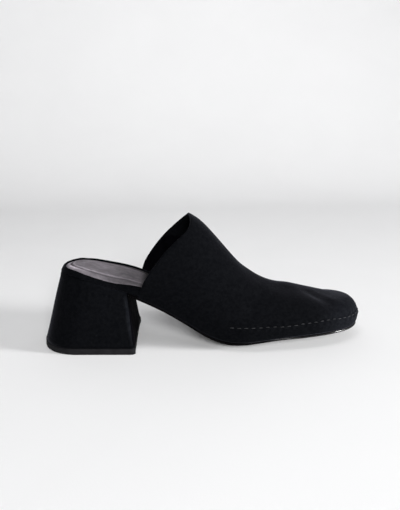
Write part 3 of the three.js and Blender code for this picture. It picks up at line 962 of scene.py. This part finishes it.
# %% Groove, ridge inside it and margin outside it
GROOVE_DEPTH = 0.9 * MM
GROOVE_WIDTH = 0.75 * MM
RIDGE_HEIGHT = 0.4 * MM
RIDGE_IN = 1.8 * MM  # from the groove
RIDGE_WIDTH = 1.0 * MM
MARGIN_HEIGHT = 0.2 * MM
MARGIN_OUT = 1.9 * MM  # from the groove
MARGIN_WIDTH = 1.1 * MM
INNER_SINK = 1.6 * MM  # the inner edge lies a little deeper in the band
SINK_REACH = (2 * MM, 9 * MM)
TOP_POINT = 0.3

points = points_of(sock)
_, far = nearest_on(sock_ring, points[:, :2])
_, from_band = nearest_on(band_ring, points[:, :2])
on_top = normals_of(sock)[:, 2] > TOP_POINT
behind = behind_vamp(points)
points[:, 2] += cup_height(points, from_band) - roll_over(points, from_band) * behind
inside_groove = far - GROOVE_IN
relief = RIDGE_HEIGHT * hump(inside_groove - RIDGE_IN, RIDGE_WIDTH)
relief += MARGIN_HEIGHT * hump(inside_groove + MARGIN_OUT, MARGIN_WIDTH)
relief -= GROOVE_DEPTH * hump(inside_groove, GROOVE_WIDTH)
points[:, 2] += relief * on_top
points[:, 2] -= INNER_SINK * inner_share(points) * falling(far, SINK_REACH) * behind
move_points(sock, points)
put_on(sock, sock_leather, "sock_lining")

# %% Painted shade and highlights on the sock
GROOVE_SHADE = 0.8
GROOVE_SHADE_WIDTH = 0.8 * MM
RIDGE_SHINE_IN = 1.9 * MM
RIDGE_SHINE_WIDTH = 0.7 * MM
INNER_SHINE_LOSS = 0.6
BACK_SHINE = 1.5
BACK_SHINE_WIDTH = 1.0 * MM
OUTER_MARGIN_SHADE = 0.4
OUTER_MARGIN_EDGE = (-1.6 * MM, -0.6 * MM)
INNER_EDGE_SHADE = 0.6
INNER_EDGE_REACH = (1 * MM, 9 * MM)
NEAR_SHADE = 0.45
NEAR_SHADE_ZONE = (-84 * MM, -56 * MM)
INSIDE_SHADE = 0.93
INSIDE_SHADE_ZONE = (-51 * MM, -45.5 * MM)
LEAST_TONE = 0.03
MOST_TONE = 2.4

_, far = nearest_on(sock_ring, points[:, :2])
inside_groove = far - GROOVE_IN
inner = inner_share(points)
at_back = back_share(points)
# painted shade in the groove, painted highlights on the ridge and, at the back, on the margin
tones = 1 - GROOVE_SHADE * hump(inside_groove, GROOVE_SHADE_WIDTH)
tones += (1 - INNER_SHINE_LOSS * inner) * hump(inside_groove - RIDGE_SHINE_IN, RIDGE_SHINE_WIDTH)
tones += BACK_SHINE * at_back * hump(inside_groove + MARGIN_OUT, BACK_SHINE_WIDTH)
# painted shade on the outer margin and on the inner edge
outer_margin = (1 - inner) * (1 - at_back) * falling(inside_groove, OUTER_MARGIN_EDGE)
tones *= 1 - OUTER_MARGIN_SHADE * outer_margin
tones *= 1 - INNER_EDGE_SHADE * inner * falling(far, INNER_EDGE_REACH)
# painted shadow towards the vamp, nearly black inside it
tones *= 1 - NEAR_SHADE * rising(points[:, 0], NEAR_SHADE_ZONE)
tones *= 1 - INSIDE_SHADE * rising(points[:, 0], INSIDE_SHADE_ZONE)
carry(sock, "painted_light_and_shade", np.clip(tones, LEAST_TONE, MOST_TONE))
print("sock tones", round(tones.min(), 2), "to", round(tones.max(), 2))

# %% [markdown]
# ## Stitches
#
# A stitch is one short thread that dives into the leather at both ends. A curve along the whole
# seam would be one thread that never dives. So a stitch is modelled once, from a sphere that is
# stretched, blunted and bent down at its ends, then copied along its line, each copy turned to
# lie on the surface below it.


# %% One stitch
END_BLUNTNESS = 0.6
END_BEND = 0.8


def one_stitch(length, thick):
    bpy.ops.mesh.primitive_uv_sphere_add(segments=10, ring_count=8, radius=1)
    stitch = bpy.context.object
    points = points_of(stitch)[:, [2, 0, 1]]
    blunt = np.sign(points[:, 0]) * np.abs(points[:, 0]) ** END_BLUNTNESS
    bend = -END_BEND * blunt**2
    points = np.stack([blunt * length / 2, points[:, 1] * thick / 2, points[:, 2] * thick / 2], axis=1)
    points[:, 2] += bend * thick / 2
    move_points(stitch, points)
    select_only(stitch)
    bpy.ops.object.shade_smooth()
    return stitch


# %% A row of stitches on a surface
FINE_STEP = 0.25 * MM
STANDS_PROUD = 0.2  # share of the thread's thickness


def surface_of(piece):
    places = [vertex.co.copy() for vertex in piece.data.vertices]
    return BVHTree.FromPolygons(places, [list(face.vertices) for face in piece.data.polygons])


def lay(template, name, place, normal, ahead, thick):
    """A copy of a stitch that points ahead and lies on the surface."""
    along = (ahead - normal * ahead.dot(normal)).normalized()
    turn = Matrix((along, normal.cross(along), normal)).transposed().to_4x4()
    copy = bpy.data.objects.new(name, template.data.copy())
    bpy.context.scene.collection.objects.link(copy)
    copy.data.transform(Matrix.Translation(place + normal * thick * STANDS_PROUD) @ turn)
    return copy


def stitch_row(name, path, surface, length, thick, pitch, first):
    """Copies of one stitch at even steps along a path, laid on a surface and joined."""
    template = one_stitch(length, thick)
    fine = evenly(path, FINE_STEP)
    step = np.linalg.norm(fine[1] - fine[0])
    copies = []
    run = first
    while run < (len(fine) - 1) * step - first:
        k = int(round(run / step))
        ahead = Vector(fine[min(k + NEIGHBOUR, len(fine) - 1)]) - Vector(fine[max(k - NEIGHBOUR, 0)])
        place, normal, _, _ = surface.find_nearest(Vector(fine[k]))
        copies.append(lay(template, name, place, normal, ahead, thick))
        run += pitch
    bpy.data.objects.remove(template)
    select_only(copies[0])
    for copy in copies:
        copy.select_set(True)
    bpy.ops.object.join()
    copies[0].name = name
    print(name, len(copies), "stitches")
    return copies[0]


# %% Stitches in the sock's groove
VISIBLE_END = -20 * MM  # along the shoe; past it the vamp hides the sock

groove_line = sock_ring - ring_normals(sock_ring) * GROOVE_IN
sock_surface = surface_of(sock)
groove_path = []
for x, y in groove_line[::4]:
    hit = sock_surface.ray_cast(Vector((x, y, cad_high[2])), Vector((0, 0, -1)))[0]
    if hit is not None and hit.x < VISIBLE_END:
        groove_path.append(hit)
groove_path = np.array(groove_path)
cut = int(np.argmax(np.linalg.norm(np.diff(groove_path, axis=0), axis=1))) + 1
groove_path = np.vstack([groove_path[cut:], groove_path[:cut]])
sock_stitches = stitch_row(
    "sock_stitches", groove_path, sock_surface,
    length=2.3 * MM, thick=0.45 * MM, pitch=3.2 * MM, first=2 * MM,
)
put_on(sock_stitches, sock_thread, None)

# %% [markdown]
# ## Vamp
#
# The vamp is one piece of suede with a lining, pulled over the last. A strip goes round the toe,
# sewn on with a row of long stitches, and each stitch draws the suede in a little. The packed
# upper has the strip as a small ledge, and the seam is found there. Its faces are then divided
# beside the seam alone, because a finer mesh all over would be too heavy.

# %% Where the toe's seam runs
SEAM_START = 33.8 * MM
LEDGE_HEIGHT = (12 * MM, 26 * MM)
LEDGE_FACING = (0.5, 0.9)
LEDGE_WIDTH = 1.2 * MM
TURN_POINT = 22 * MM  # along the shoe; the ledge is put in order as seen from here
SMOOTHING_STEP = 1 * MM
SMOOTHING_HALF = 4  # points on each side that a smoothed point takes in
END_POINTS = 6  # the direction of an end is read over this many points
RUN_ON = 24 * MM  # the seam goes on past the ledge at both ends
upper_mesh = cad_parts["upper"].data


def on_ledge(face):
    """Whether a packed face is part of the narrow ledge that the strip makes."""
    low, high = LEDGE_HEIGHT
    if face.center.x < SEAM_START or not low < face.center.z < high:
        return False
    if not LEDGE_FACING[0] < face.normal.z < LEDGE_FACING[1]:
        return False
    corners = [upper_mesh.vertices[i].co for i in face.vertices]
    longest = max((corners[i] - corners[i - 1]).length for i in range(3))
    return 2 * face.area / longest < LEDGE_WIDTH


def extended(path, length):
    """A line made longer at both ends, straight on."""
    first = path[0] - path[END_POINTS]
    last = path[-1] - path[-1 - END_POINTS]
    before = path[0] + first / np.linalg.norm(first) * length
    after = path[-1] + last / np.linalg.norm(last) * length
    return np.vstack([before, path, after])


def smoothed(path, half):
    """A line whose points are each the mean of their neighbours."""
    padded = np.vstack([np.repeat(path[:1], half, 0), path, np.repeat(path[-1:], half, 0)])
    return np.stack([padded[i : i + len(path)] for i in range(2 * half + 1)]).mean(axis=0)


ledge = [tuple(face.center) for face in upper_mesh.polygons if on_ledge(face)]
ledge = np.array(sorted(ledge, key=lambda p: math.atan2(p[1], p[0] - TURN_POINT)))
seam = smoothed(evenly(ledge, SMOOTHING_STEP), SMOOTHING_HALF)
seam = evenly(extended(seam, RUN_ON), EDGE_STEP)
print("seam from", np.round(seam[0] / MM, 1), "to", np.round(seam[-1] / MM, 1), len(seam), "points")

# %% Which way is out of the shoe
SPINE_AHEAD = 10 * MM
SPINE_END = cad_high[0] - 35 * MM
SPINE_HEIGHT = 0.4  # share of the vamp's height

vamp = smooth_copy("upper", "vamp", 2, crisp_degrees=35, crease=0.7)
slices, lows, highs = heights_in_slices(points_of(vamp), 5 * MM)


def outward_of(points):
    """The way out of the shoe, from a line inside it."""
    x = np.minimum(points[:, 0] + SPINE_AHEAD, SPINE_END)
    low = np.interp(x, slices, lows)
    high = np.interp(x, slices, highs)
    spine = np.stack([x, np.zeros(len(x)), low + SPINE_HEIGHT * (high - low)], axis=1)
    out = points - spine
    return out / np.linalg.norm(out, axis=1)[:, None]


def faces_out():
    """The middles of the vamp's faces, and how much each face looks out of the shoe."""
    centres = np.array([face.center for face in vamp.data.polygons])
    normals = np.array([face.normal for face in vamp.data.polygons])
    return centres, (normals * outward_of(centres)).sum(axis=1)


# %% Finer faces beside the seam
SEAM_REACHES = (5 * MM, 3.5 * MM)
OUTER_FACE = 0.25

for reach in SEAM_REACHES:
    centres, outness = faces_out()
    _, far = nearest_on(seam, centres)
    beside_seam = (far < reach) & (outness > OUTER_FACE)
    choose(vamp, "FACE", lambda face: beside_seam[face.index])
    bpy.ops.mesh.subdivide(number_cuts=1)
    done()
print("vamp", len(vamp.data.polygons), "faces")

# %% [markdown]
# ## Folds of the vamp
#
# The toe's top is a soft cap with a ridge round it, and a dent behind it where the foot bends.
# The instep is full, and the suede gives in slow waves over the ball. A noise would make such
# waves anywhere, but these have their own places, so they are listed one by one: each is a line on
# the shoe with a width and a depth, and the suede rises or sinks along the way out.

# %% Swells and hollows, in the shoe's own millimetres
FOLDS = [
    # the toe's top rises to a soft cap, with a dent behind it
    {"path": [(74, 6, 38), (83, 10, 35.5), (91, 15, 33)], "width": 10.0, "rise": 2.5},
    {"path": [(101, 26, 28.5), (102, 16, 32)], "width": 2.6, "rise": -0.6},
    {
        "path": [(89, 6, 35), (97.4, -0.8, 33.1), (105.8, -11, 31.3), (114.7, -14.4, 26.5)],
        "width": 3.2,
        "rise": 0.35,
    },
    {"path": [(107, 10, 32), (113, 0, 29)], "width": 11.0, "rise": 0.5},
    {"path": [(84, -3, 36), (92, -10, 34), (101, -18, 31), (108, -24, 27)], "width": 5.0, "rise": -0.9},
    # the instep is fuller where the foot bends
    {"path": [(38, 3, 52), (50, 3, 47), (64, 3, 42)], "width": 9.0, "rise": 2.1},
    # slow waves where the suede gives over the ball
    {"path": [(44, -20, 46), (38, -30, 38), (31, -37, 29)], "width": 5.0, "rise": -0.5},
    {"path": [(56, -20, 41), (52, -29, 35), (47, -36, 27)], "width": 5.0, "rise": 0.35},
    {"path": [(70, -18, 37), (66, -27, 32), (62, -34, 25)], "width": 6.0, "rise": -0.35},
    {"path": [(-12, -33, 60), (6, -31, 56), (22, -29, 50)], "width": 8.0, "rise": -0.5},
    {"path": [(44, 22, 46), (38, 32, 38), (31, 38, 29)], "width": 5.0, "rise": -0.5},
    {"path": [(70, 20, 37), (66, 30, 32), (62, 36, 25)], "width": 6.0, "rise": -0.35},
]
REAR_LEAN = 0.8 * MM  # the inner side's rear edge lies a little further back
REAR_ZONE = (-30 * MM, 15 * MM)
LOWER_PART = (16 * MM, 28 * MM)

points = points_of(vamp)
out = outward_of(points)
rise = np.zeros(len(points))
for fold in FOLDS:
    far = to_path(points, np.array(fold["path"]) * MM)
    rise += fold["rise"] * MM * hump(far, fold["width"] * MM)
lower = falling(points[:, 2], LOWER_PART)
points += out * rise[:, None]
points[:, 0] -= REAR_LEAN * falling(points[:, 0], REAR_ZONE) * inner_share(points)
points[:, 2] -= toe_drop(points) * lower
move_points(vamp, points)
print("folds from", round(rise.min() / MM, 1), "to", round(rise.max() / MM, 1), "mm")

# %% [markdown]
# ## Seam and its stitches
#
# The strip is sewn on through a groove at its foot. Each stitch draws the suede in, so the strip
# and the wall above it swell a little between the stitches: a wave with the stitches' own pitch
# makes both. The same line then carries the long stitches.

# %% Groove at the strip's foot, and suede drawn in by each stitch
STITCH_PITCH = 5.5 * MM
FIRST_STITCH = 3 * MM
SEAM_DEPTH = 0.4 * MM
SEAM_ABOVE = 0.5 * MM  # heights are taken from the line of the ledge
SEAM_WIDTH = 0.7 * MM
SEAM_WAVE = 0.25  # share of the depth that comes and goes with the stitches
STRIP_SWELL = 0.4 * MM
STRIP_BELOW = 2.2 * MM
WALL_SWELL = 0.25 * MM
WALL_ABOVE = 2.8 * MM
SWELL_WIDTH = 1.4 * MM
SWELL_WAVE = 0.4
SEAM_FADE = (0, 8 * MM)
OUTER_POINT = 0.2
SEAM_REACH = 6 * MM

seam[:, 2] -= toe_drop(seam)
points = points_of(vamp)
normals = normals_of(vamp)
index, far = nearest_on(seam, points)
run = index * EDGE_STEP
above = points[:, 2] - seam[index, 2]
wave = np.cos((run - FIRST_STITCH) / STITCH_PITCH * math.tau)
fade = rising(run, SEAM_FADE) * rising(run[index.argmax()] - run, SEAM_FADE)
outer = ((normals * outward_of(points)).sum(axis=1) > OUTER_POINT) & (far < SEAM_REACH)
drawn_in = 1 - SEAM_WAVE + SEAM_WAVE * wave
swollen = 1 - SWELL_WAVE * wave
groove = -SEAM_DEPTH * hump(above - SEAM_ABOVE, SEAM_WIDTH) * drawn_in
strip = STRIP_SWELL * hump(above + STRIP_BELOW, SWELL_WIDTH) * swollen
wall = WALL_SWELL * hump(above - WALL_ABOVE, SWELL_WIDTH) * swollen
points += normals * ((groove + strip + wall) * fade * outer)[:, None]
move_points(vamp, points)
put_on(vamp, suede, "upper")

# %% Lining inside the vamp
INNER_FACE = -0.75

_, outness = faces_out()
deep_black_faces(vamp, outness < INNER_FACE)
print("lining faces", int((outness < INNER_FACE).sum()))

# %% Long stitches round the toe
STITCH_BELOW = 0.8 * MM

stitch_line = seam.copy()
stitch_line[:, 2] -= STITCH_BELOW
toe_stitches = stitch_row(
    "toe_stitches", stitch_line, surface_of(vamp),
    length=3.2 * MM, thick=0.65 * MM, pitch=STITCH_PITCH, first=FIRST_STITCH,
)
put_on(toe_stitches, thread, None)
